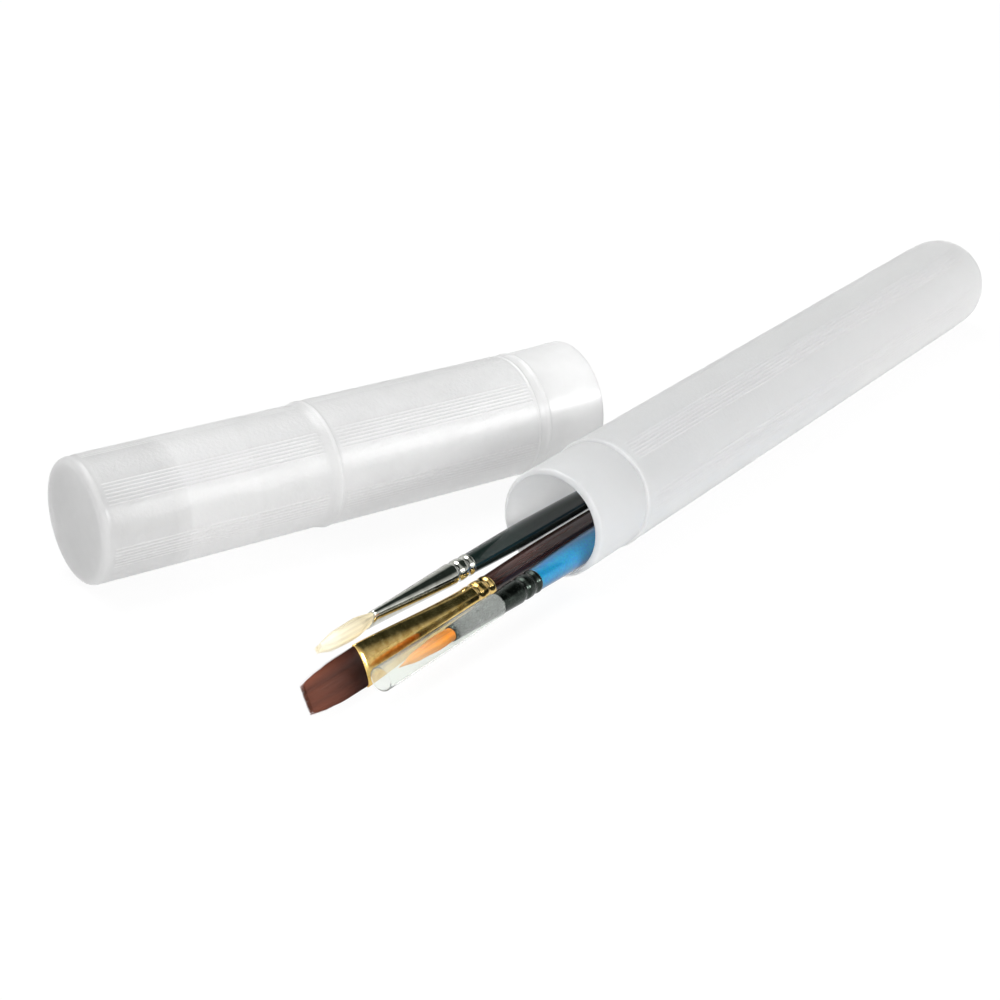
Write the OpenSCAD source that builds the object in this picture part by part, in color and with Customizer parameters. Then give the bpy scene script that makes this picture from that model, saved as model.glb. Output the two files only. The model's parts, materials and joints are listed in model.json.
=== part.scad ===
// Round two-part brush case with a slip-on cap, lying open with three long brushes in it.
// The tube lies along +X with its mouth at low X. The cap lies off it, on the +Y side.
// Z is up, and the surface that everything lies on is at z = 0. Millimetres.

/* [Tube] */
// Length of the tube from its lip to the tip of its domed end
tube_len = 256.8; // [200:1:320]
// Outer radius of the ribbed body, between the ribs
tube_r = 15; // [14.9:0.05:15.1]
// Wall of the tube
tube_wall = 1.3; // [0.9:0.1:1.4]
// Length of the smooth neck, from the lip to the middle of the shoulder ring
neck_len = 24.2; // [18:0.2:34]
// Outer radius of the neck
neck_r = 14.7; // [14.5:0.05:14.8]
// How far the shoulder ring stands out from the ribbed body
shoulder_proud = 0.25; // [0.15:0.05:0.35]
// Width of the shoulder ring
shoulder_w = 1.8; // [1.2:0.1:3]
// Width of the groove in front of the shoulder ring
groove_w = 0.7; // [0.4:0.1:1.2]
// Depth of that groove below the neck
groove_depth = 0.3; // [0.1:0.05:0.45]
// Chamfer round the lip
lip_chamfer = 0.6; // [0.2:0.1:0.6]

/* [Cap] */
// Length of the cap from its closed end to its mouth
cap_len = 154.7; // [130:0.5:180]
// Outer radius of the wide part
cap_r = 17; // [16.8:0.1:17.6]
// Outer radius of the narrow part, next to the closed end
cap_small_r = 16.5; // [16.2:0.1:16.7]
// Radius of the bore that slides over the tube's shoulder ring
cap_bore_r = 15.4; // [15.35:0.05:15.6]
// Radius of the deep bore that takes the neck alone
cap_deep_r = 14.95; // [14.85:0.05:15.1]
// Thickness of the closed end
cap_end_wall = 1.6; // [1:0.1:3]
// Rounding of the closed end's rim
cap_end_round = 1.7; // [0.8:0.1:2.2]
// Middle bead, from the closed end
mid_bead_at = 68.3; // [55:0.1:80]
// Narrow ridge where the ribs stop, from the closed end
ridge_at = 132.7; // [125:0.1:137]
// Distance from the narrow ridge to the mouth bead
bead_step = 3.3; // [2.5:0.1:5]
// How far the beads stand out
bead_proud = 0.3; // [0.15:0.05:0.5]
// Outer radius of the flared mouth
cap_mouth_r = 17.4; // [17.1:0.1:17.8]

/* [Ribs] */
// Bands of fine grip ribs round the case
rib_bands = 6; // [4:1:8]
// Ribs in a band
ribs_per_band = 7; // [3:1:9]
// Distance between two ribs round the surface
rib_pitch = 0.95; // [0.8:0.05:1.1]
// Width of a rib
rib_w = 0.4; // [0.3:0.05:0.5]
// How far a rib stands out
rib_proud = 0.15; // [0.1:0.05:0.2]
// Turn of the tube's rib bands from straight down
tube_rib_turn = 29; // [0:1:59]
// Turn of the cap's rib bands from straight down
cap_rib_turn = 47; // [0:1:59]

/* [Cap's place] */
// Closed end's centre behind the tube's mouth, along the tube
cap_back = 73.9; // [60:0.1:90]
// Closed end's centre to the side of the tube's axis
cap_side = 94.4; // [90:0.1:110]
// Angle between the cap and the tube
cap_turn = 20.5; // [15:0.5:22]

/* [Filbert brush] */
// Length of the ferrule
filbert_ferrule_len = 40.3; // [30:0.1:50]
// Radius of the ferrule at the handle
filbert_ferrule_r = 2.75; // [2.4:0.05:3]
// Width of the ferrule's flattened mouth
filbert_mouth_w = 5.7; // [4:0.1:6]
// Depth of the ferrule's flattened mouth
filbert_mouth_d = 2.6; // [2.2:0.1:3.4]
// Length of the hair that shows
filbert_hair_len = 20; // [14:0.1:24]
// How far the filbert brush lies turned about its own axis
filbert_lean = -25; // [-60:1:60]
// Largest radius of the handle
filbert_handle_r = 3.15; // [2.8:0.05:3.2]
// Length of the handle that shows outside the ferrule
filbert_handle_len = 249.5; // [180:0.5:250]

/* [Flat brush] */
// Length of the ferrule
flat_ferrule_len = 51.9; // [40:0.1:60]
// Radius of the ferrule at the handle
flat_ferrule_r = 2.9; // [2.6:0.05:3.1]
// Width of the ferrule's flattened mouth
flat_mouth_w = 10.7; // [8:0.1:10.9]
// Depth of the ferrule's flattened mouth
flat_mouth_d = 2.8; // [2.2:0.1:3.2]
// Length of the hair that shows
flat_hair_len = 20.4; // [14:0.1:24]
// Largest radius of the handle
flat_handle_r = 3.15; // [2.9:0.05:3.2]
// Length of the handle that shows outside the ferrule
flat_handle_len = 255.6; // [180:0.1:256]
// Lean of the flat mouth from upright
flat_lean = 24.5; // [0:0.5:45]

/* [Round brush] */
// Length of the ferrule
round_ferrule_len = 34.5; // [28:0.1:45]
// Radius of the ferrule at the handle
round_ferrule_r = 3; // [2.7:0.05:3.1]
// Radius of the ferrule's round mouth
round_mouth_r = 1.95; // [1.6:0.05:2.2]
// Length of the hair that shows
round_hair_len = 20.2; // [14:0.1:24]
// Largest radius of the handle
round_handle_r = 3.5; // [3.1:0.05:3.5]
// Length of the handle that shows outside the ferrule
round_handle_len = 166.4; // [120:0.1:180]
// Length of the clear sleeve over the hair
sleeve_len = 45; // [42:0.1:54]
// Wall of the clear sleeve
sleeve_wall = 0.3; // [0.2:0.05:0.4]
// Sleeve's rear end, from the joint between the ferrule and the handle
sleeve_start = 16.1; // [12:0.1:17]

/* [Brush parts] */
// Wall of the ferrules
ferrule_wall = 0.35; // [0.25:0.05:0.4]
// Depth of the two crimps that hold each handle
crimp_depth = 0.3; // [0.15:0.05:0.35]
// Width of one crimp
crimp_w = 1.6; // [0.8:0.1:1.8]
// Distance between the two crimps
crimp_step = 4.2; // [2.4:0.1:4.4]
// Length of the handle's tenon inside the ferrule
tenon_len = 12; // [9:0.5:14]
// Length of the hair set in the ferrule
hair_root_len = 8; // [5:0.5:10]
// Radius of a handle's thin end
handle_end_r = 1.5; // [1.2:0.1:1.7]
// Handle's widest place, from the ferrule
belly_at = 27; // [20:1:40]
// Clearance of the clear sleeve over the ferrule
sleeve_fit = 0.05; // [0.03:0.01:0.1]

/* [Hidden] */

// Fineness of the round parts, and of the blended ones
fine = 96;
blend_fine = 32;
// Overlap where one shape is cut from another
eps = 0.5;
// Thickness of the discs that blended shapes are drawn between
disc = 0.05;
// Chamfer on a handle's tenon, and how far its neck lies inside the ferrule's edge
tenon_chamfer = 0.3;
neck_step = 0.1;
// Straight stretch at the very mouth of the cap, past its flare
cap_lip_len = 2.5;
// Width of the moulded beads
bead_w = 1.4;

// Radius of the shoulder ring, which is also what the tube lies on
shoulder_r = tube_r + shoulder_proud;
axis_z = shoulder_r;
cap_axis_z = cap_mouth_r;
dome_at = tube_len - tube_r;

// Where the ribs start and stop along each part
tube_rib_gap = 2.2;
tube_ribs_from = neck_len + shoulder_w / 2 + tube_rib_gap;
cap_rib_gap = 2.8;
flare_len = 2.5;

// Brush placement: sideways and height of each axis at the tube's mouth, turn to the side
// and droop towards the handle's end, and the ferrule's rear edge behind the mouth
filbert_side = 8.57;
filbert_height = 10.25;
filbert_rear = -24.5;
filbert_place = [filbert_side, filbert_height, -0.56, 1.29, filbert_rear];
flat_side = 3.32;
flat_height = 5.93;
flat_rear = -23.8;
flat_place = [flat_side, flat_height, -0.08, 0.13, flat_rear];
round_side = -6.35;
round_height = 7.9;
round_rear = -17;
round_place = [round_side, round_height, -1.55, -1.25, round_rear];
// Heights above are for this radius of the shoulder ring
placed_for_r = 15.25;

// Furthest reach of the whole thing, for the origin in the middle of its footprint
flat_reach = flat_ferrule_len + flat_hair_len;
flat_dir = [cos(flat_place[3]) * cos(flat_place[2]), cos(flat_place[3]) * sin(flat_place[2])];
low_x = flat_place[4] * flat_dir[0] - flat_reach * flat_dir[0];
high_x = tube_len;
low_y = -shoulder_r;
rim_r = cap_small_r - cap_end_round;
high_y = cap_side - cap_end_round * sin(cap_turn) + rim_r * cos(cap_turn) + cap_end_round;
centre_x = (low_x + high_x) / 2;
centre_y = (low_y + high_y) / 2;

// Colours
frost = [0.86, 0.88, 0.89, 0.6];
nickel = [0.72, 0.73, 0.72];
brass = [0.78, 0.6, 0.26];

// Puts a part drawn from the tube's mouth centre, on the surface, into the shared frame
module framed() {
    translate([-centre_x, -centre_y, 0]) children();
}

// Lays a part drawn along +Z down along +X, on the tube's axis
module on_tube_axis() {
    framed() translate([0, 0, axis_z]) rotate([0, 90, 0]) children();
}

// Lays the cap, drawn along +Z from its closed end, beside the tube
module on_cap_axis() {
    framed() translate([-cap_back, cap_side, cap_axis_z])
        rotate([0, 0, -cap_turn]) rotate([0, 90, 0]) children();
}

// Puts a brush in the tube: its +Z runs from the ferrule's rear edge to the tip of the hair
module in_tube(place) {
    framed() translate([0, place[0], place[1] + axis_z - placed_for_r])
        rotate([0, place[3], place[2]])
        translate([place[4], 0, 0])
        rotate([0, -90, 0]) children();
}

// Bands of fine ribs on a cylinder of radius r, from z = from to z = to
module ribs(r, from, to, first) {
    turn = rib_pitch / r * 180 / PI;
    for (band = [0 : rib_bands - 1], i = [0 : ribs_per_band - 1]) {
        angle = first + band * 360 / rib_bands + (i - (ribs_per_band - 1) / 2) * turn;
        rotate([0, 0, angle])
            translate([r - eps, -rib_w / 2, from])
            cube([rib_proud + eps, rib_w, to - from]);
    }
}

// A moulded bead or ring round a cylinder of radius r, standing out by proud
module bead(r, at, proud, w) {
    rotate_extrude($fn = fine)
        polygon([[r - eps, at - w / 2], [r, at - w / 2], [r + proud, at - w / 5],
            [r + proud, at + w / 5], [r, at + w / 2], [r - eps, at + w / 2]]);
}

// Wall of the tube as a turned outline, from the lip to the tip of the dome
module tube_wall_shape() {
    inner_neck = neck_r - tube_wall;
    inner_body = tube_r - tube_wall;
    ring_from = neck_len - shoulder_w / 2;
    step_len = 1.5;
    rotate_extrude($fn = fine) {
        polygon([[inner_neck, 0], [neck_r - lip_chamfer, 0], [neck_r, lip_chamfer * 1.5],
            [neck_r, ring_from - groove_w], [neck_r - groove_depth, ring_from - groove_w / 2],
            [neck_r - groove_depth, ring_from], [shoulder_r - 0.2, ring_from],
            [shoulder_r, ring_from + 0.4], [shoulder_r, ring_from + shoulder_w - 0.4],
            [tube_r, ring_from + shoulder_w], [tube_r, dome_at], [inner_body, dome_at],
            [inner_body, neck_len + step_len], [inner_neck, neck_len]]);
        translate([0, dome_at]) intersection() {
            difference() {
                circle(r = tube_r, $fn = fine);
                circle(r = inner_body, $fn = fine);
            }
            square(tube_r + 1);
        }
    }
}

module case_tube() {
    color(frost) on_tube_axis() {
        tube_wall_shape();
        ribs(tube_r, tube_ribs_from, dome_at - tube_rib_gap, tube_rib_turn);
    }
}

// Wall of the cap as a turned outline, from the closed end to the mouth
module cap_wall_shape() {
    flare_from = mid_bead_at - bead_w / 2 - flare_len;
    flare_to = mid_bead_at - bead_w / 2;
    mouth_from = ridge_at + bead_step;
    rim = 0.5;
    rotate_extrude($fn = fine)
        polygon([[0, 0], [rim_r, 0],
            for (a = [15 : 15 : 90])
                [rim_r + cap_end_round * sin(a), cap_end_round * (1 - cos(a))],
            [cap_small_r, flare_from], [cap_r, flare_to], [cap_r, mouth_from],
            [cap_mouth_r, cap_len - cap_lip_len], [cap_mouth_r, cap_len - rim], [cap_mouth_r - rim, cap_len],
            [cap_bore_r, cap_len], [cap_bore_r, flare_to], [cap_deep_r, flare_to - 1],
            [cap_deep_r, cap_end_wall], [0, cap_end_wall]]);
}

module case_cap() {
    color(frost) on_cap_axis() {
        cap_wall_shape();
        ribs(cap_small_r, cap_end_round + cap_rib_gap / 2,
            mid_bead_at - cap_rib_gap - flare_len / 2, cap_rib_turn);
        ribs(cap_r, mid_bead_at + cap_rib_gap / 2, ridge_at - bead_w / 2, cap_rib_turn);
        bead(cap_r, mid_bead_at, bead_proud, bead_w);
        bead(cap_r, ridge_at, bead_proud, bead_w / 2);
        bead(cap_r, ridge_at + bead_step, bead_proud, bead_w);
    }
}

// Crimped rear stretch of a ferrule: two pressed rings, and the wall between and beside them
module crimped_ring(r, len) {
    inner = r - ferrule_wall;
    ridge = 0.12;
    rotate_extrude($fn = fine)
        polygon(concat(
            [[inner, 0], [r - 0.1, 0], [r, 0.15]],
            [for (i = [0, 1], p = [[0, -0.6], [ridge, -0.35], [-crimp_depth, -0.1],
                    [-crimp_depth, 0.1], [ridge, 0.35], [0, 0.6]])
                [r + p[0], crimp_step * (i + 0.5) + p[1] * crimp_w]],
            [[r, len], [inner, len]],
            [for (i = [1, 0], p = [[0, 0.55], [-crimp_depth, 0.15], [-crimp_depth, -0.15], [0, -0.55]])
                [inner + p[0], crimp_step * (i + 0.5) + p[1] * crimp_w]]));
}

// Length of the crimped stretch
crimp_len = crimp_step * 2.4;

// Thin disc at height z with radii rx across and ry deep
module oval_disc(z, rx, ry) {
    translate([0, 0, z]) scale([1, ry / rx, 1]) cylinder(r = rx, h = disc, $fn = blend_fine);
}

// Blend from a round rear end to an oval mouth, grown by grow all round
module oval_blend(r, len, rx, ry, grow, over) {
    hull() {
        translate([0, 0, crimp_len - over]) cylinder(r = r + grow, h = disc, $fn = blend_fine);
        oval_disc(len - disc + over, rx + grow, ry + grow);
    }
}

// Ferrule with a flattened mouth of w by d
module oval_ferrule(r, len, w, d) {
    crimped_ring(r, crimp_len + disc);
    difference() {
        oval_blend(r, len, w / 2, d / 2, 0, 0);
        oval_blend(r, len, w / 2, d / 2, -ferrule_wall, disc);
    }
}

// What fills the inside of a flattened ferrule between two heights
module oval_filling(r, len, w, d, from, to) {
    intersection() {
        oval_blend(r, len, w / 2, d / 2, -ferrule_wall, disc);
        translate([-w, -w, from]) cube([2 * w, 2 * w, to - from]);
    }
}

// Ferrule that tapers straight to a round mouth
module round_taper_ferrule(r, len, mouth) {
    crimped_ring(r, crimp_len);
    rotate_extrude($fn = fine)
        polygon([[r - ferrule_wall, crimp_len], [r, crimp_len], [mouth, len],
            [mouth - ferrule_wall, len]]);
}

// Inner radius of the round brush's tapered ferrule at height z
function taper_r(r, len, mouth, z) =
    r - ferrule_wall + (mouth - r) * (z - crimp_len) / (len - crimp_len);

// Handle: tenon in the ferrule, belly behind it, long taper and rounded thin end
module handle(ferrule_r, belly_r, len) {
    tenon_r = ferrule_r - ferrule_wall - crimp_depth;
    neck = ferrule_r - neck_step;
    rise = [for (i = [0 : 8]) let (t = i / 8)
        [neck + (belly_r - neck) * sin(90 * t), -belly_at * t]];
    fall = [for (i = [1 : 14]) let (t = i / 14)
        [handle_end_r + (belly_r - handle_end_r) * pow(1 - t, 1.35),
            -belly_at - (len - belly_at - handle_end_r) * t]];
    tip = [for (a = [15 : 15 : 90])
        [handle_end_r * cos(a), -(len - handle_end_r) - handle_end_r * sin(a)]];
    rotate_extrude($fn = fine)
        polygon(concat([[0, tenon_len], [tenon_r - tenon_chamfer, tenon_len],
            [tenon_r, tenon_len - 2 * tenon_chamfer],
            [tenon_r, 0]], rise, fall, tip));
}

module filbert_handle() {
    color([0.09, 0.12, 0.15]) in_tube(filbert_place)
        handle(filbert_ferrule_r, filbert_handle_r, filbert_handle_len);
}

module filbert_ferrule() {
    color(nickel) in_tube(filbert_place) rotate([0, 0, filbert_lean])
        oval_ferrule(filbert_ferrule_r, filbert_ferrule_len, filbert_mouth_w, filbert_mouth_d);
}

module filbert_glue() {
    color([0.75, 0.65, 0.4]) in_tube(filbert_place) rotate([0, 0, filbert_lean])
        oval_filling(filbert_ferrule_r, filbert_ferrule_len, filbert_mouth_w, filbert_mouth_d,
            tenon_len, filbert_ferrule_len - hair_root_len);
}

module filbert_hair() {
    mouth = filbert_ferrule_len;
    w = filbert_mouth_w / 2 - ferrule_wall;
    d = filbert_mouth_d / 2 - ferrule_wall;
    color([0.95, 0.92, 0.82]) in_tube(filbert_place) rotate([0, 0, filbert_lean]) {
        oval_filling(filbert_ferrule_r, filbert_ferrule_len, filbert_mouth_w, filbert_mouth_d,
            mouth - hair_root_len, mouth);
        hull() {
            oval_disc(mouth - disc / 2, w, d);
            oval_disc(mouth + filbert_hair_len * 0.35, w * 1.25, d * 0.95);
            oval_disc(mouth + filbert_hair_len * 0.7, w * 0.85, d * 0.6);
            oval_disc(mouth + filbert_hair_len * 0.9, w * 0.45, d * 0.35);
            oval_disc(mouth + filbert_hair_len - disc, w * 0.15, d * 0.15);
        }
    }
}

module flat_handle() {
    color([0.16, 0.11, 0.1]) in_tube(flat_place)
        handle(flat_ferrule_r, flat_handle_r, flat_handle_len);
}

module flat_ferrule() {
    color(brass) in_tube(flat_place) rotate([0, 0, flat_lean])
        oval_ferrule(flat_ferrule_r, flat_ferrule_len, flat_mouth_w, flat_mouth_d);
}

module flat_glue() {
    color([0.75, 0.65, 0.4]) in_tube(flat_place) rotate([0, 0, flat_lean])
        oval_filling(flat_ferrule_r, flat_ferrule_len, flat_mouth_w, flat_mouth_d,
            tenon_len, flat_ferrule_len - hair_root_len);
}

module flat_hair() {
    mouth = flat_ferrule_len;
    w = flat_mouth_w / 2 - ferrule_wall;
    d = flat_mouth_d / 2 - ferrule_wall;
    color([0.35, 0.2, 0.16]) in_tube(flat_place) rotate([0, 0, flat_lean]) {
        oval_filling(flat_ferrule_r, flat_ferrule_len, flat_mouth_w, flat_mouth_d,
            mouth - hair_root_len, mouth);
        hull() {
            oval_disc(mouth - disc / 2, w, d);
            oval_disc(mouth + flat_hair_len * 0.35, w, d * 0.9);
            oval_disc(mouth + flat_hair_len * 0.75, w * 0.88, d * 0.55);
            oval_disc(mouth + flat_hair_len - disc, w * 0.76, d * 0.25);
        }
    }
}

module round_handle() {
    color([0.2, 0.55, 0.75]) in_tube(round_place)
        handle(round_ferrule_r, round_handle_r, round_handle_len);
}

module round_ferrule() {
    color([0.12, 0.13, 0.13]) in_tube(round_place)
        round_taper_ferrule(round_ferrule_r, round_ferrule_len, round_mouth_r);
}

// Turned filling of the round ferrule between two heights
module round_filling(from, to) {
    rotate_extrude($fn = fine)
        polygon([[0, from],
            [taper_r(round_ferrule_r, round_ferrule_len, round_mouth_r, from), from],
            [taper_r(round_ferrule_r, round_ferrule_len, round_mouth_r, to), to], [0, to]]);
}

module round_glue() {
    color([0.75, 0.65, 0.4]) in_tube(round_place)
        round_filling(tenon_len, round_ferrule_len - hair_root_len);
}

module round_hair() {
    r = round_mouth_r - ferrule_wall;
    color([0.93, 0.6, 0.25]) in_tube(round_place) {
        round_filling(round_ferrule_len - hair_root_len, round_ferrule_len);
        rotate_extrude($fn = fine)
            polygon([[0, round_ferrule_len], [r, round_ferrule_len],
                for (p = [[1.1, 0.12], [1.15, 0.25], [1.08, 0.42], [0.85, 0.62], [0.5, 0.82],
                        [0.22, 0.95]])
                    [r * p[0], round_ferrule_len + round_hair_len * p[1]],
                [0, round_ferrule_len + round_hair_len]]);
    }
}

module round_hair_sleeve() {
    inner = taper_r(round_ferrule_r, round_ferrule_len, round_mouth_r, sleeve_start)
        + ferrule_wall + sleeve_fit;
    color([0.85, 0.88, 0.88, 0.35]) in_tube(round_place)
        translate([0, 0, sleeve_start]) difference() {
            cylinder(r = inner + sleeve_wall, h = sleeve_len, $fn = fine);
            translate([0, 0, -eps]) cylinder(r = inner, h = sleeve_len + 2 * eps, $fn = fine);
        }
}

case_tube();
case_cap();
filbert_handle();
filbert_ferrule();
filbert_glue();
filbert_hair();
flat_handle();
flat_ferrule();
flat_glue();
flat_hair();
round_handle();
round_ferrule();
round_glue();
round_hair();
round_hair_sleeve();
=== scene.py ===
"""Looks of a frosted two-part brush case: the tube with three brushes in it, and its cap laid beside it.

Shapes are drawn in millimetres along their own +Z, then laid in place in metres.
"""

import json
import math
import random

import bmesh
import bpy
from mathutils import Matrix, Vector


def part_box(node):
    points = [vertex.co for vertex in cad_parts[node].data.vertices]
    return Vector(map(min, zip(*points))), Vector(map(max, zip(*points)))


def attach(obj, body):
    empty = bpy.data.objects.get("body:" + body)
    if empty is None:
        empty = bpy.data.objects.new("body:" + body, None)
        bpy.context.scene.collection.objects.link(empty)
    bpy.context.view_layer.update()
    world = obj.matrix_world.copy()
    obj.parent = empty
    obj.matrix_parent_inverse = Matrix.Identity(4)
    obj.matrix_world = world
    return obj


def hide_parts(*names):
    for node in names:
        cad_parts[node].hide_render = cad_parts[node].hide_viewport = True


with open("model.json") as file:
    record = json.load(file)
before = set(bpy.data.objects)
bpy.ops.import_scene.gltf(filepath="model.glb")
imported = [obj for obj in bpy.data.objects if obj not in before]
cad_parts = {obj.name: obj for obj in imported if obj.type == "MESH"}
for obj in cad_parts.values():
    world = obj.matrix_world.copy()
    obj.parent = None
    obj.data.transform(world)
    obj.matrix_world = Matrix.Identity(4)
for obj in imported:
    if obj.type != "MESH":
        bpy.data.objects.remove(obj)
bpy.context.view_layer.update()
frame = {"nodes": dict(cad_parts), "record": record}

MM = 0.001
scene = bpy.context.scene

# Places, taken from the frame

tube_low, tube_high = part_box("case_tube")
MOUTH = Vector((tube_low.x, (tube_low.y + tube_high.y) / 2, (tube_low.z + tube_high.z) / 2))
mounts = {mount["name"]: mount for mount in frame["record"]["mounts"]}
CAP_END = Vector(mounts["cap_end_face"]["pos_m"])
CAP_AXIS = -Vector(mounts["cap_end_face"]["axis"])


def turned(degrees, axis):
    return Matrix.Rotation(math.radians(degrees), 4, axis)


def lying(start, direction):
    """Lays a piece down: its +Z runs along direction from start, and its +X points at the floor."""
    heading = math.degrees(math.atan2(direction.y, direction.x))
    return Matrix.Translation(start) @ turned(heading, "Z") @ turned(90, "Y")


def brush_place(side, below, turn, droop, joint):
    """Lays a brush in the mouth: +Z runs from the ferrule's rear edge to the tip of the hair."""
    at_mouth = MOUTH + Vector((0, side, -below)) * MM
    rear = Matrix.Translation((joint * MM, 0, 0))
    return Matrix.Translation(at_mouth) @ turned(turn, "Z") @ turned(droop, "Y") @ rear @ turned(-90, "Y")


TUBE_PLACE = lying(MOUTH, Vector((1, 0, 0)))
CAP_PLACE = lying(CAP_END, CAP_AXIS)

# Sizes of the case, in millimetres

TUBE_LEN = 256.8
TUBE_R = 15.0
TUBE_WALL = 1.3
NECK_R = 14.7
NECK_END = 22.6
RING_FROM = 23.3
RING_TO = 25.1
RING_R = 15.25
DOME_AT = TUBE_LEN - TUBE_R
TUBE_RIBS = (27.3, DOME_AT - 2.2)
SEAM_ANGLE = 208.0
SEAM_PROUD = 0.06

CAP_LEN = 154.7
CAP_R = 17.0
CAP_SMALL_R = 16.5
CAP_BORE_R = 15.4
CAP_DEEP_R = 14.95
CAP_END_WALL = 1.6
CAP_ROUND = 1.7
MID_BEAD = 68.3
FLARE = (65.1, 67.6)
RIDGE = 132.7
MOUTH_BEAD = 136.0
CAP_MOUTH_R = 17.4
CAP_RIBS = ((3.1, 64.2), (69.7, 132.0))
HAZE_BAND = (25.5, 43.5)

RIB_BANDS = 6
RIBS_PER_BAND = 7
RIB_PITCH = 0.95
RIB_W = 0.55
RIB_PROUD = 0.16
TUBE_RIB_TURN = 29
CAP_RIB_TURN = 47
AROUND = 720

# Sizes of the brushes, in millimetres

FERRULE_WALL = 0.35
CRIMP_DEPTH = 0.3
CRIMP_STEP = 4.2
CRIMP_LEN = CRIMP_STEP * 2.4
BELLY_AT = 27
HANDLE_END_R = 1.5

FILBERT = dict(
    name="filbert", body="filbert_brush",
    place=brush_place(8.57, 5.0, -0.56, 1.29, -24.5), lean=-25, sweep=0.1,
    ferrule_len=40.3, ferrule_r=2.75, mouth=(2.85, 1.3), hair_len=20, handle_r=3.15, handle_len=249.5)
FLAT = dict(
    name="flat", body="flat_brush", place=brush_place(3.32, 9.32, -0.08, 0.13, -23.8), lean=24.5, sweep=0.35,
    ferrule_len=51.9, ferrule_r=2.9, mouth=(5.35, 1.4), hair_len=20.4, handle_r=3.15, handle_len=255.6)
ROUND = dict(
    name="round", body="round_brush", place=brush_place(-6.35, 7.35, -1.55, -1.25, -17), lean=0, sweep=0,
    ferrule_len=34.5, ferrule_r=3.0, mouth=(1.95, 1.95), hair_len=20.2, handle_r=3.5, handle_len=166.4)
TENON_LEN = 11.9
GLUE_END = 7.9
STRAND_R = 0.055
STRAND_POINTS = 9
STRAND_ROOT = 0.6
CLUMP_W = 0.9
CLUMPS = 40
HEART_SHARE = 0.95
GOLDEN_ANGLE = 2.399963
SLEEVE_START = 16.1
SLEEVE_LEN = 45
SLEEVE_R = 3.06
SLEEVE_WALL = 0.3

# Camera, set where the photograph's was

cam_data = bpy.data.cameras.new("camera")
camera = bpy.data.objects.new("camera", cam_data)
scene.collection.objects.link(camera)
scene.camera = camera
cam_data.sensor_width = 36
cam_data.lens = 79.06
cam_data.clip_end = 20
camera.matrix_world = (
    Matrix.Translation(MOUTH + Vector((-431.8, -269.2, 231.5)) * MM)
    @ turned(33.42 - 90, "Z") @ turned(90 - 23.87, "X") @ turned(1.186, "Z"))

# Materials


def colour(hex_code):
    """Linear colour of an sRGB hex value."""
    parts = [int(hex_code[i:i + 2], 16) / 255 for i in (1, 3, 5)]
    return [c / 12.92 if c <= 0.04045 else ((c + 0.055) / 1.055) ** 2.4 for c in parts] + [1]


def feed(tree, node, **inputs):
    """Feeds a node's inputs, named or numbered as i0, i1: each from a value or from a socket."""
    for key, value in inputs.items():
        numbered = key[0] == "i" and key[1:].isdigit()
        socket = node.inputs[int(key[1:]) if numbered else key.replace("_", " ")]
        if isinstance(value, bpy.types.NodeSocket):
            tree.links.new(value, socket)
        else:
            socket.default_value = value


def add(tree, kind, settings=None, **inputs):
    """Adds a node with its settings and feeds its inputs."""
    made = tree.nodes.new("ShaderNode" + kind)
    for key, value in (settings or {}).items():
        setattr(made, key, value)
    feed(tree, made, **inputs)
    return made


def ramp(tree, factor, stops):
    """Colour ramp with stops of (position, colour)."""
    made = add(tree, "ValToRGB", i0=factor)
    elements = made.color_ramp.elements
    while len(elements) < len(stops):
        elements.new(0.5)
    for element, (position, value) in zip(elements, stops):
        element.position = position
        element.color = value
    return made.outputs[0]


def blank_tree(holder):
    """Node tree of a new material or world, emptied."""
    holder.use_nodes = True
    holder.node_tree.nodes.clear()
    return holder.node_tree


def material(name):
    made = bpy.data.materials.new(name)
    tree = blank_tree(made)
    shader = add(tree, "BsdfPrincipled")
    add(tree, "OutputMaterial", Surface=shader.outputs[0])
    return made, tree, shader


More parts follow.
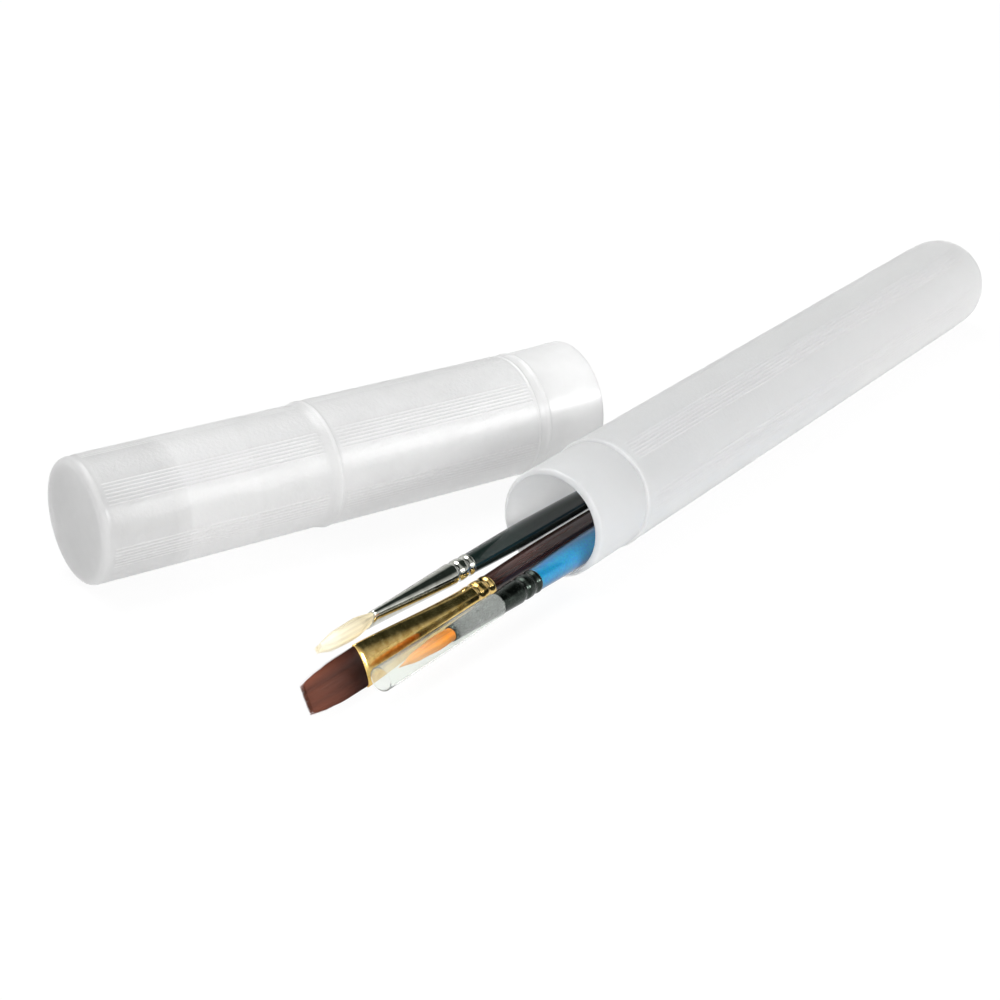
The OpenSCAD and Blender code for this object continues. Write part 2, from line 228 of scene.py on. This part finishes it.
def frosted_polypropylene():
    """Injection-moulded natural polypropylene: milky, light passes through, and the spark-eroded
    tool leaves a fine orange peel that breaks the highlight up. Smooth where it slides and fits."""
    made, tree, shader = material("frosted_polypropylene")
    place = add(tree, "TexCoord").outputs["Object"]
    grain = add(tree, "Attribute", {"attribute_name": "grain"}).outputs["Fac"]
    haze_and_shade = add(tree, "Attribute", {"attribute_name": "haze_and_shade"}).outputs["Fac"]
    rib = add(tree, "Attribute", {"attribute_name": "rib"}).outputs["Fac"]
    # Orange peel about 0.9 mm across, and flow marks some 12 mm across
    peel = add(tree, "TexNoise", Vector=place, Scale=1100, Detail=3, Roughness=0.6).outputs[0]
    flow = add(tree, "TexNoise", Vector=place, Scale=80, Detail=2).outputs[0]
    height = add(tree, "Math", {"operation": "MULTIPLY"}, i0=peel, i1=grain).outputs[0]
    bump = add(tree, "Bump", Strength=0.75, Distance=0.00018, Height=height).outputs[0]
    body = ramp(tree, flow, [(0.3, colour("#FAFAFA")), (0.7, colour("#FFFFFF"))])
    # Where the haze lies the wall is whiter, and before it, towards the cap's closed end, a little greyer:
    # that grey is painted shade
    cloud = add(tree, "TexNoise", Vector=place, Scale=260, Detail=2).outputs[0]
    ragged = add(tree, "Math", {"operation": "MULTIPLY_ADD"}, i0=cloud, i1=0.12, i2=haze_and_shade).outputs[0]
    haze_and_shade_tone = ramp(tree, ragged, [
        (0.05, colour("#DCDCDC")), (0.35, colour("#F6F6F6")), (0.85, colour("#FFFFFF"))])
    tone = add(tree, "Mix", {"data_type": "RGBA", "blend_type": "MULTIPLY"},
               Factor=1.0, i6=body, i7=haze_and_shade_tone).outputs[2]
    # Ribs painted a little whiter: a painted glow standing in for the light that a rib's thicker wall
    # scatters
    tone = add(tree, "Mix", {"data_type": "RGBA"}, Factor=rib, i6=tone, i7=colour("#FEFEFE")).outputs[2]
    feed(tree, shader, Base_Color=tone, Roughness=0.33, IOR=1.49, Transmission_Weight=0.4,
         Subsurface_Weight=1.0, Subsurface_Radius=(1, 1, 1), Subsurface_Scale=0.01, Normal=bump)
    return made


def lacquer(name, deep, light, sheen_rough, streak=1.0):
    """Spray lacquer on a turned wooden handle: glossy, with the wood's long grain just showing."""
    made, tree, shader = material(name)
    place = add(tree, "TexCoord").outputs["Object"]
    # Grain lines about 0.6 mm apart that run some 30 mm along the handle
    drawn = add(tree, "Mapping", Vector=place, Scale=(33, 1600, 1600)).outputs[0]
    grain = add(tree, "TexNoise", Vector=drawn, Scale=1, Detail=3, Roughness=0.55).outputs[0]
    tone = ramp(tree, grain, [(0.5 - 0.2 / streak, colour(deep)), (0.5 + 0.25 / streak, colour(light))])
    wave = add(tree, "TexNoise", Vector=place, Scale=150, Detail=2).outputs[0]
    bump = add(tree, "Bump", Strength=0.12, Distance=0.0001, Height=wave).outputs[0]
    feed(tree, shader, Base_Color=tone, Roughness=sheen_rough, Specular_IOR_Level=0.3,
         Coat_Weight=0.3, Coat_Roughness=0.06, Normal=bump)
    return made


def pearl_lacquer():
    """Pearlescent lacquer: blue with mica flakes of about 0.15 mm, drawn 0.4 mm so that they show."""
    made, tree, shader = material("blue_pearl_lacquer")
    place = add(tree, "TexCoord").outputs["Object"]
    flakes = add(tree, "TexVoronoi", Vector=place, Scale=2500).outputs["Color"]
    # Painted sheen: the blue is painted brighter where the lacquer faces the camera and darker towards its
    # edges
    sheen_facing = add(tree, "LayerWeight", Blend=0.35).outputs["Facing"]
    body = ramp(tree, sheen_facing, [
        (0.0, colour("#1FA0D2")), (0.4, colour("#166F9E")), (0.85, colour("#0B3A5C"))])
    tone = add(tree, "Mix", {"data_type": "RGBA", "blend_type": "SOFT_LIGHT"},
               Factor=0.25, i6=body, i7=flakes).outputs[2]
    feed(tree, shader, Base_Color=tone, Roughness=0.3, Metallic=0.35, Coat_Weight=0.4, Coat_Roughness=0.06)
    return made


def plated(name, tint, dark, rough):
    """Drawn and plated ferrule: mirror-like, with faint draw lines along it and a few handling marks."""
    made, tree, shader = material(name)
    place = add(tree, "TexCoord").outputs["Object"]
    drawn = add(tree, "Mapping", Vector=place, Scale=(120, 4500, 4500)).outputs[0]
    lines = add(tree, "TexNoise", Vector=drawn, Scale=1, Detail=2).outputs[0]
    marks = add(tree, "TexNoise", Vector=place, Scale=420, Detail=4, Roughness=0.7).outputs[0]
    tone = ramp(tree, marks, [(0.35, colour(dark)), (0.6, colour(tint))])
    worn = add(tree, "MapRange", Value=marks, i1=0.3, i2=0.75, i3=rough * 0.7, i4=rough * 1.7).outputs[0]
    bump = add(tree, "Bump", Strength=0.1, Distance=0.00003, Height=lines).outputs[0]
    feed(tree, shader, Base_Color=tone, Metallic=1.0, Roughness=worn, Normal=bump)
    return made


def filament(name, root, tip, rough):
    """Brush filament: each strand a little different, paler at its tip."""
    made, tree, shader = material(name)
    along = add(tree, "Attribute", {"attribute_name": "along"}).outputs["Fac"]
    strand = add(tree, "Attribute", {"attribute_name": "strand"}).outputs["Fac"]
    body = ramp(tree, along, [(0.05, colour(root)), (0.8, colour(tip))])
    tone = add(tree, "HueSaturation", Color=body,
               Value=add(tree, "MapRange", Value=strand, i3=0.45, i4=1.5).outputs[0]).outputs[0]
    feed(tree, shader, Base_Color=tone, Roughness=rough, Specular_IOR_Level=0.2)
    return made


def clear_sleeve():
    """Soft extruded vinyl tube: clear and glossy, whitened where the ferrule stretches it and
    a little milky towards its open end."""
    made, tree, shader = material("clear_pvc")
    place = add(tree, "TexCoord").outputs["Object"]
    scuff = add(tree, "TexNoise", Vector=place, Scale=150, Detail=2).outputs[0]
    rough = add(tree, "MapRange", Value=scuff, i3=0.02, i4=0.05).outputs[0]
    veil = add(tree, "Attribute", {"attribute_name": "veil"}).outputs["Fac"]
    clear = add(tree, "MapRange", Value=veil, i3=1.0, i4=0.0).outputs[0]
    feed(tree, shader, Base_Color=colour("#F3F6F3"), Roughness=rough, IOR=1.12, Transmission_Weight=clear)
    return made


FROSTED = frosted_polypropylene()
BLUE_BLACK = lacquer("blue_black_lacquer", "#0A1412", "#15231F", 0.2)
BROWN_BLACK = lacquer("brown_black_lacquer", "#160D0B", "#4A2821", 0.24, streak=0.8)
BLUE_PEARL = pearl_lacquer()
NICKEL = plated("polished_nickel", "#C9CAC3", "#B2B3AB", 0.09)
GOLD = plated("gold_coloured_brass", "#E8C984", "#D2AC60", 0.15)
BLACK_NICKEL = plated("black_nickel", "#3B423D", "#272C29", 0.22)
WHITE_HAIR = filament("white_bristle", "#EADFC0", "#F1EAD4", 0.55)
BROWN_HAIR = filament("brown_synthetic", "#2C110A", "#6E3E2E", 0.45)
ORANGE_HAIR = filament("orange_synthetic", "#F09418", "#F9AE40", 0.4)
CLEAR_PVC = clear_sleeve()

# Shaping


def spun(outline, steps, closed=True):
    """Turns an outline of (radius, height) round +Z."""
    bm = bmesh.new()
    line = [bm.verts.new((r, 0, z)) for r, z in outline]
    edges = [bm.edges.new(pair) for pair in zip(line, line[1:])]
    if closed:
        edges.append(bm.edges.new((line[-1], line[0])))
    bmesh.ops.spin(bm, geom=line + edges, cent=(0, 0, 0), axis=(0, 0, 1), angle=2 * math.pi,
                   steps=steps, use_merge=True)
    bmesh.ops.remove_doubles(bm, verts=bm.verts, dist=1e-4)
    bmesh.ops.recalc_face_normals(bm, faces=bm.faces)
    return bm


def corner(r, z, radius, start, stop, count=5):
    """Points on a round corner about (r, z), from start to stop degrees."""
    angles = [math.radians(start + (stop - start) * i / count) for i in range(count + 1)]
    return [(r + radius * math.cos(a), z + radius * math.sin(a)) for a in angles]


def raised(r, middle, proud, width, count=8):
    """Points over a soft moulded bead on a wall of radius r, running along +Z."""
    steps = [i / count for i in range(count + 1)]
    return [(r + proud * math.sin(math.pi * t) ** 1.3, middle + width * (t - 0.5)) for t in steps]


def rib_height(angle, r, first):
    """How far the moulded ribs stand out at an angle, in degrees, round a wall of radius r."""
    band = (angle - first + 30) % (360 / RIB_BANDS) - 30
    across = math.radians(band) * r
    nearest = round(across / RIB_PITCH)
    off = abs(across - nearest * RIB_PITCH)
    if abs(nearest) > RIBS_PER_BAND // 2 or off > RIB_W / 2:
        return 0
    return RIB_PROUD * math.cos(math.pi * off / RIB_W) ** 2


def press_ribs(bm, stretches, first):
    """Raises the ribs on the outside wall within each stretch of (from, to, radius)."""
    layer = bm.verts.layers.float.new("rib")
    for vert in bm.verts:
        r = math.hypot(vert.co.x, vert.co.y)
        for start, stop, wall in stretches:
            if start < vert.co.z < stop and abs(r - wall) < 0.05:
                angle = math.degrees(math.atan2(vert.co.y, vert.co.x))
                height = rib_height(angle, wall, first)
                vert.co.x *= (r + height) / r
                vert.co.y *= (r + height) / r
                vert[layer] = height / RIB_PROUD


def finish_piece(bm, name, place, body, look, replaced, attributes=None, sharp=50):
    """Makes the piece, in metres and in place, with smooth faces and crisp edges."""
    layers = {key: bm.verts.layers.float.new(key) for key in (attributes or {})}
    for vert in bm.verts:
        for key, layer in layers.items():
            vert[layer] = attributes[key](vert.co)
    for face in bm.faces:
        face.smooth = True
    for edge in bm.edges:
        if len(edge.link_faces) == 2 and edge.calc_face_angle() > math.radians(sharp):
            edge.smooth = False
    bm.transform(place @ Matrix.Scale(MM, 4))
    mesh = bpy.data.meshes.new(name)
    bm.to_mesh(mesh)
    bm.free()
    return placed(mesh, name, body, look, replaced)


def placed(mesh, name, body, look, replaced):
    mesh.materials.append(look)
    piece = bpy.data.objects.new(name, mesh)
    scene.collection.objects.link(piece)
    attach(piece, body)
    if replaced:
        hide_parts(*replaced)
    return piece


def between(value, low, high, soft):
    """1 between low and high, falling to 0 over soft on either side."""
    return max(0.0, min(1.0, (value - low) / soft + 0.5, (high - value) / soft + 0.5))


# Case


def tube_shell():
    inner = TUBE_R - TUBE_WALL
    neck_bore = NECK_R - TUBE_WALL
    outline = [(neck_bore, 0), (neck_bore + 0.06, -0.42)]
    outline += [(neck_bore + 0.22, -0.5), (neck_bore + 0.42, -0.42)]
    outline += [(NECK_R - 0.12, 0.62), (NECK_R - 0.02, 0.85), (NECK_R, 1.2)]
    outline += [(NECK_R, 3), (NECK_R, 12), (NECK_R, NECK_END - 0.2)]
    outline += [(NECK_R - 0.04, NECK_END), (NECK_R - 0.3, NECK_END + 0.25), (NECK_R - 0.3, RING_FROM - 0.1)]
    outline += corner(RING_R - 0.35, RING_FROM + 0.35, 0.35, -90, 0, 4)
    outline += corner(RING_R - 0.45, RING_TO - 0.5, 0.45, 0, 60, 4)
    outline += [(TUBE_R, RING_TO + 0.1), (TUBE_R, TUBE_RIBS[0]), (TUBE_R, TUBE_RIBS[0] + 0.6)]
    outline += [(TUBE_R, z) for z in (80, 130, 180)]
    outline += [(TUBE_R, TUBE_RIBS[1] - 6), (TUBE_R, TUBE_RIBS[1])]
    outline += corner(0, DOME_AT, TUBE_R, 0, 90, 18)
    outline += corner(0, DOME_AT, inner, 90, 0, 10)
    outline += [(inner, 130), (inner, 26), (neck_bore, 24.4)]
    bm = spun(outline, AROUND, closed=True)
    press_ribs(bm, [(TUBE_RIBS[0], TUBE_RIBS[1] - 1, TUBE_R)], TUBE_RIB_TURN)
    for vert in bm.verts:
        angle = math.degrees(math.atan2(vert.co.y, vert.co.x)) % 360
        on_neck = 1 < vert.co.z < NECK_END and math.hypot(vert.co.x, vert.co.y) > NECK_R - 0.1
        if on_neck and abs(angle - SEAM_ANGLE) < 0.3:
            vert.co.x *= 1 + SEAM_PROUD / NECK_R
            vert.co.y *= 1 + SEAM_PROUD / NECK_R
    return finish_piece(
        bm, "tube_shell", TUBE_PLACE, "tube", FROSTED, ["case_tube"],
        {"grain": lambda at: 0.2 + 0.5 * between(at.z, TUBE_RIBS[0], DOME_AT, 2),
         "haze_and_shade": lambda at: 0.7})


def haze_and_end_shade(at):
    """Milky cloud round the cap, soft towards the closed end and sharper towards the mouth; its low values
    towards the closed end grey the wall there as painted shade.
    """
    start, stop = HAZE_BAND
    # Low values here paint shade on the wall towards the closed end
    if at.z < stop:
        return 0.95 * eased((at.z - start + 4) / 9)
    return 0.28 + 0.3 * (1 - eased((at.z - stop) / 1.2))


def cap_shell():
    rim_r = CAP_SMALL_R - CAP_ROUND
    outline = [(0, 0), (rim_r - 2, 0), (rim_r - 0.4, 0)]
    outline += corner(rim_r, CAP_ROUND, CAP_ROUND, -90, 0, 8)
    outline += [(CAP_SMALL_R + 0.1, CAP_ROUND + 0.25), (CAP_SMALL_R, CAP_ROUND + 0.6)]
    outline += [(CAP_SMALL_R, CAP_RIBS[0][0]), (CAP_SMALL_R, CAP_RIBS[0][0] + 0.5)]
    outline += [(CAP_SMALL_R, z) for z in (12, 20, 24, 26, 28, 41, 43, 45, 55)]
    outline += [(CAP_SMALL_R, CAP_RIBS[0][1] - 0.5), (CAP_SMALL_R, CAP_RIBS[0][1])]
    flare_r = [(CAP_SMALL_R + (CAP_R - CAP_SMALL_R) * (0.5 - 0.5 * math.cos(math.pi * t)),
                FLARE[0] + (FLARE[1] - FLARE[0]) * t) for t in (0, 0.25, 0.5, 0.75)]
    outline += flare_r + raised(CAP_R, MID_BEAD, 0.3, 1.4)
    outline += [(CAP_R, CAP_RIBS[1][0]), (CAP_R, CAP_RIBS[1][0] + 0.5)]
    outline += [(CAP_R, z) for z in (85, 100, 115)]
    outline += [(CAP_R, CAP_RIBS[1][1] - 0.5), (CAP_R, CAP_RIBS[1][1])]
    outline += raised(CAP_R, RIDGE, 0.25, 0.8, 6)
    outline += [(CAP_R - 0.08, RIDGE + 0.9), (CAP_R - 0.08, MOUTH_BEAD - 1.0)]
    outline += raised(CAP_R, MOUTH_BEAD, 0.32, 1.6)
    outline += [(CAP_R, MOUTH_BEAD + 1.0), (CAP_R + 0.1, 142), (CAP_R + 0.25, 148)]
    outline += [(CAP_MOUTH_R - 0.02, 152.2), (CAP_MOUTH_R, CAP_LEN - 0.7)]
    outline += corner(CAP_MOUTH_R - 0.5, CAP_LEN - 0.5, 0.5, 0, 90, 4)
    outline += [(CAP_BORE_R + 0.3, CAP_LEN), (CAP_BORE_R, CAP_LEN - 0.4), (CAP_BORE_R, 110)]
    outline += [(CAP_BORE_R, 67.8), (CAP_DEEP_R, 66.6), (CAP_DEEP_R, 30), (CAP_DEEP_R, CAP_END_WALL + 0.6)]
    outline += [(CAP_DEEP_R - 0.6, CAP_END_WALL), (0, CAP_END_WALL)]
    bm = spun(outline, AROUND, closed=False)
    press_ribs(bm, [CAP_RIBS[0] + (CAP_SMALL_R,), CAP_RIBS[1] + (CAP_R,)], CAP_RIB_TURN)
    return finish_piece(
        bm, "cap_shell", CAP_PLACE, "cap", FROSTED, ["case_cap"],
        {"grain": lambda at: 0.12 + 0.88 * between(at.z, 3, 132, 1), "haze_and_shade": haze_and_end_shade})


# Brushes


def eased(t):
    t = max(0.0, min(1.0, t))
    return t * t * (3 - 2 * t)


def handle(brush, look):
    """Turned handle: short neck, belly, long taper and a round thin end."""
    neck = brush["ferrule_r"] - 0.1
    belly = brush["handle_r"]
    length = brush["handle_len"]
    tenon = brush["ferrule_r"] - FERRULE_WALL - CRIMP_DEPTH
    outline = [(0, TENON_LEN), (tenon - 0.4, TENON_LEN), (tenon - 0.02, TENON_LEN - 0.7)]
    outline += [(tenon - 0.02, 0.02), (neck, -0.02)]
    outline += [(neck + (belly - neck) * math.sin(math.pi / 2 * i / 16), -BELLY_AT * i / 16)
                for i in range(1, 17)]
    rest = length - BELLY_AT - HANDLE_END_R
    outline += [(HANDLE_END_R + (belly - HANDLE_END_R) * (1 - i / 30) ** 1.35, -BELLY_AT - rest * i / 30)
                for i in range(1, 31)]
    outline += corner(0, -(length - HANDLE_END_R), HANDLE_END_R, 0, -90, 8)[1:]
    name = brush["name"] + "_handle"
    return finish_piece(spun(outline, 72, closed=False), name + "_turned", brush["place"], brush["body"],
                        look, [name])


def pressed(bm, brush, profile):
    """Presses a round form, drawn about radius 10, into the oval that profile(height) gives."""
    for vert in bm.verts:
        r = math.hypot(vert.co.x, vert.co.y)
        if r < 1e-6:
            continue
        rx, ry = profile(vert.co.z)
        off = r - 10
        vert.co.x *= (rx + off) / r
        vert.co.y *= (ry + off) / r


def ferrule_profile(brush):
    """Outer half-width and half-depth of the ferrule at a height."""
    def at(z):
        t = max(0.0, min(1.0, (z - CRIMP_LEN) / (brush["ferrule_len"] - CRIMP_LEN)))
        t = (1 - brush["sweep"]) * t + brush["sweep"] * eased(t) ** 1.3
        r = brush["ferrule_r"]
        return r + (brush["mouth"][0] - r) * t, r + (brush["mouth"][1] - r) * t
    return at


def ferrule(brush, look):
    """Drawn metal ferrule with two crimps near the handle and a rolled rear edge."""
    length = brush["ferrule_len"]
    outline = [(10 - 0.12, 0.0), (10, 0.12)]
    groove = [(1.7, 0.1), (1.25, 0.08), (0.9, -0.02), (0.6, -0.15), (0.25, -0.28)]
    for middle in (CRIMP_STEP * 0.5, CRIMP_STEP * 1.5):
        outline += [(10 + proud, middle - off) for off, proud in groove]
        outline += [(10 + proud, middle + off) for off, proud in reversed(groove)]
    outline += [(10, CRIMP_LEN + (length - CRIMP_LEN) * i / 24) for i in range(24)]
    outline += [(10, length - 0.12), (10 - 0.1, length), (10 - FERRULE_WALL, length)]
    outline += [(10 - FERRULE_WALL, length * 0.6), (10 - FERRULE_WALL, CRIMP_LEN)]
    outline += [(10 - FERRULE_WALL - CRIMP_DEPTH, CRIMP_LEN - 1), (10 - FERRULE_WALL - CRIMP_DEPTH, 0)]
    bm = spun(outline, 96, closed=True)
    pressed(bm, brush, ferrule_profile(brush))
    name = brush["name"] + "_ferrule"
    return finish_piece(bm, name + "_drawn", leaning(brush), brush["body"], look, [name], sharp=60)


def leaning(brush):
    return brush["place"] @ turned(brush["lean"], "Z")


def tuft(brush, shape, look, strands, seed, uneven):
    """Hair: a solid heart with single strands over it. shape holds widths(t), the width and depth
    as shares of the mouth, and end(u), how far a strand at u across the mouth reaches."""
    widths, end = shape
    length = brush["hair_len"]
    mouth = brush["ferrule_len"]
    wx = brush["mouth"][0] - FERRULE_WALL
    wy = brush["mouth"][1] - FERRULE_WALL
    chance = random.Random(seed)
    curves = bpy.data.curves.new(brush["name"] + "_strands", "CURVE")
    curves.dimensions = "3D"
    curves.bevel_depth = STRAND_R * MM
    curves.bevel_resolution = 0
    last = STRAND_POINTS - 1
    for number in range(strands):
        spread = math.sqrt((number + 0.5) / strands)
        angle = number * GOLDEN_ANGLE
        u, v = spread * math.cos(angle), spread * math.sin(angle)
        reach = end(u) * (1 - uneven * chance.random())
        sway = (chance.gauss(0, 0.025), chance.gauss(0, 0.025))
        line = curves.splines.new("POLY")
        line.points.add(last)
        for step, point in enumerate(line.points):
            t = reach * step / last
            sx, sy = widths(t)
            x = wx * (sx * u + sway[0] * t)
            y = wy * (sy * v + sway[1] * t)
            height = mouth - STRAND_ROOT + (length + STRAND_ROOT) * t
            at = leaning(brush) @ (Vector((x, y, height)) * MM)
            point.co = (*at, 1)
            point.radius = 1.0 - 0.75 * (step / last) ** 2
    holder = bpy.data.objects.new("strands", curves)
    scene.collection.objects.link(holder)
    mesh = bpy.data.meshes.new_from_object(holder.evaluated_get(bpy.context.evaluated_depsgraph_get()))
    bpy.data.objects.remove(holder)
    back = leaning(brush).inverted()
    along = mesh.attributes.new("along", "FLOAT", "POINT")
    strand = mesh.attributes.new("strand", "FLOAT", "POINT")
    per_strand = len(mesh.vertices) // strands
    # Strands cling together in clumps, each with a shade of its own
    clumps = [chance.random() for _ in range(CLUMPS)]

    def clump(x):
        place = x / CLUMP_W + CLUMPS // 2
        first = int(place)
        return clumps[first] + (clumps[first + 1] - clumps[first]) * eased(place - first)

    shades = [chance.random() for _ in range(strands)]
    for vert in mesh.vertices:
        at = (back @ vert.co) / MM
        along.data[vert.index].value = (at.z - mouth) / length
        own = shades[min(vert.index // per_strand, strands - 1)]
        strand.data[vert.index].value = 0.65 * clump(at.x) + 0.35 * own
    for polygon in mesh.polygons:
        polygon.use_smooth = True
    name = brush["name"] + "_hair"
    placed(mesh, name + "_strands", brush["body"], look, None)

    bore = 10 - FERRULE_WALL - 0.03
    heart = [(0, mouth - GLUE_END), (bore, mouth - GLUE_END), (bore, mouth)]
    heart += [(bore, mouth + length * 0.93 * i / 16) for i in range(1, 17)]
    heart += [(0, mouth + length * 0.95)]
    outer = ferrule_profile(brush)

    def profile(z):
        if z <= mouth:
            return outer(z)
        sx, sy = widths((z - mouth) / length)
        shrink = HEART_SHARE if z > mouth + 0.5 else 1
        return wx * sx * shrink + FERRULE_WALL, wy * sy * shrink + FERRULE_WALL

    bm = spun(heart, 48, closed=False)
    pressed(bm, brush, profile)
    return finish_piece(
        bm, name + "_heart", leaning(brush), brush["body"], look, [name],
        {"along": lambda at: (at.z - mouth) / length, "strand": lambda at: 0.15 + 0.6 * clump(at.x)})


def curve_through(points):
    """Smooth reading between (t, value) points."""
    def at(t):
        for (t0, a), (t1, b) in zip(points, points[1:]):
            if t <= t1:
                return a + (b - a) * eased((t - t0) / (t1 - t0))
        return points[-1][1]
    return at


def filbert_shape():
    wide = curve_through([(0, 1.0), (0.3, 1.35), (0.65, 1.25), (1.0, 0.6)])
    deep = curve_through([(0, 1.0), (0.3, 1.9), (0.65, 1.7), (1.0, 0.6)])
    return (lambda t: (wide(t), deep(t))), (lambda u: 1 - 0.3 * abs(u) ** 2.5)


def flat_shape():
    wide = curve_through([(0, 1.0), (0.4, 0.99), (0.75, 0.88), (1.0, 0.7)])
    deep = curve_through([(0, 1.0), (0.3, 0.9), (1.0, 0.22)])
    return (lambda t: (wide(t), deep(t))), (lambda u: 1.0)


def round_shape():
    wide = curve_through([(0, 1.0), (0.25, 1.12), (0.65, 0.8), (1.0, 0.06)])
    return (lambda t: (wide(t), wide(t))), (lambda u: 1 - 0.12 * abs(u))


def hair_sleeve():
    """Soft clear tube over the round brush's hair, gripping the front of its ferrule."""
    inner = SLEEVE_R - SLEEVE_WALL
    outline = corner(SLEEVE_R - 0.12, 0.12, 0.12, -90, 0, 3)
    over = ROUND["ferrule_len"] - SLEEVE_START
    outline += [(SLEEVE_R, z) for z in (6, 12, over - 0.3, over + 0.3, over + 4, over + 8, over + 16, 41)]
    outline += corner(SLEEVE_R - 0.12, SLEEVE_LEN - 0.12, 0.12, 0, 90, 3)
    outline += [(inner, SLEEVE_LEN - 0.02)]
    outline += [(inner, SLEEVE_LEN * i / 4) for i in (3, 2, 1)] + [(inner, 0.02)]
    bm = spun(outline, 72, closed=True)
    bmesh.ops.translate(bm, verts=bm.verts, vec=(0, 0, SLEEVE_START))
    return finish_piece(
        bm, "hair_sleeve_tube", ROUND["place"], "hair_sleeve", CLEAR_PVC, ["round_hair_sleeve"],
        {"veil": lambda at: 0.12 if at.z < ROUND["ferrule_len"]
            else 0.12 * eased((at.z - ROUND["ferrule_len"]) / 24)})


tube_shell()
cap_shell()
handle(FILBERT, BLUE_BLACK)
handle(FLAT, BROWN_BLACK)
handle(ROUND, BLUE_PEARL)
ferrule(FILBERT, NICKEL)
ferrule(FLAT, GOLD)
ferrule(ROUND, BLACK_NICKEL)
tuft(FILBERT, filbert_shape(), WHITE_HAIR, 650, 11, 0.1)
tuft(FLAT, flat_shape(), BROWN_HAIR, 1100, 12, 0.03)
tuft(ROUND, round_shape(), ORANGE_HAIR, 600, 13, 0.08)
hair_sleeve()

# Glue plugs keep their solids: cured epoxy, clear amber
epoxy, epoxy_tree, epoxy_shader = material("cured_epoxy")
feed(epoxy_tree, epoxy_shader, Base_Color=ramp(
    epoxy_tree, add(epoxy_tree, "TexNoise", Scale=500).outputs[0],
    [(0.3, colour("#B79A58")), (0.7, colour("#D3BC80"))]), Roughness=0.2, Transmission_Weight=0.3)
for brush in (FILBERT, FLAT, ROUND):
    plug = frame["nodes"][brush["name"] + "_glue"]
    plug.data.materials.clear()
    plug.data.materials.append(epoxy)

# Floor and light

floor_mesh = bmesh.new()
bmesh.ops.create_grid(floor_mesh, x_segments=1, y_segments=1, size=6)
bmesh.ops.translate(floor_mesh, verts=floor_mesh.verts, vec=(0, 0, -0.0002))
floor_data = bpy.data.meshes.new("floor")
floor_mesh.to_mesh(floor_data)
floor_mesh.free()
floor = bpy.data.objects.new("floor", floor_data)
scene.collection.objects.link(floor)
# White paper: seen as plain white that keeps a faint shadow, and it throws light up at the case
paper = bpy.data.materials.new("white_paper")
tree = blank_tree(paper)
rays = add(tree, "LightPath").outputs
seen = add(tree, "Math", {"operation": "MAXIMUM"},
           i0=rays["Is Camera Ray"], i1=rays["Is Glossy Ray"]).outputs[0]
seen = add(tree, "Math", {"operation": "MAXIMUM"}, i0=seen, i1=rays["Is Transmission Ray"]).outputs[0]
share = add(tree, "MapRange", Value=seen, i3=0.85, i4=0.9).outputs[0]
lit = add(tree, "BsdfDiffuse", Color=colour("#F4F4F4")).outputs[0]
glow = add(tree, "Emission", Color=(1, 1, 1, 1), Strength=1.0).outputs[0]
mixed = add(tree, "MixShader", i0=share, i1=lit, i2=glow).outputs[0]
add(tree, "OutputMaterial", Surface=mixed)
floor_data.materials.append(paper)

# White backdrop behind and below, and a darker room up on the right, which the metals mirror
world = bpy.data.worlds.new("studio")
scene.world = world
tree = blank_tree(world)
direction = add(tree, "TexCoord").outputs["Generated"]
room = Vector((0.74, -0.21, 0.64)).normalized()
towards = add(tree, "VectorMath", {"operation": "DOT_PRODUCT"}, i0=direction, i1=room).outputs["Value"]
sky = ramp(tree, towards, [
    (0.45, (0.97, 0.97, 0.97, 1)), (0.79, (0.6, 0.61, 0.6, 1)), (0.92, (0.03, 0.04, 0.035, 1))])
rays = add(tree, "LightPath").outputs
seen = add(tree, "Math", {"operation": "MAXIMUM"},
           i0=rays["Is Camera Ray"], i1=rays["Is Transmission Ray"]).outputs[0]
shade = add(tree, "Background", Color=sky, Strength=0.95).outputs[0]
white = add(tree, "Background", Color=(1, 1, 1, 1), Strength=1.0).outputs[0]
mixed = add(tree, "MixShader", i0=seen, i1=shade, i2=white).outputs[0]
add(tree, "OutputWorld", Surface=mixed)


def lamp(name, direction, distance, size, power):
    """Soft square lamp that faces the case from a direction."""
    data = bpy.data.lights.new(name, "AREA")
    data.size = size
    data.energy = power
    made = bpy.data.objects.new(name, data)
    scene.collection.objects.link(made)
    at = Vector(direction).normalized()
    made.matrix_world = Matrix.Translation(at * distance) @ at.to_track_quat("Z", "Y").to_matrix().to_4x4()


lamp("key", (0.167, -0.931, 0.325), 1.2, 0.24, 7.2)
lamp("overhead", (0.1, 0.35, 1.0), 1.4, 0.9, 12.5)
lamp("fill", (-0.62, -0.72, 0.17), 1.4, 1.0, 9)

scene.view_settings.view_transform = "Standard"
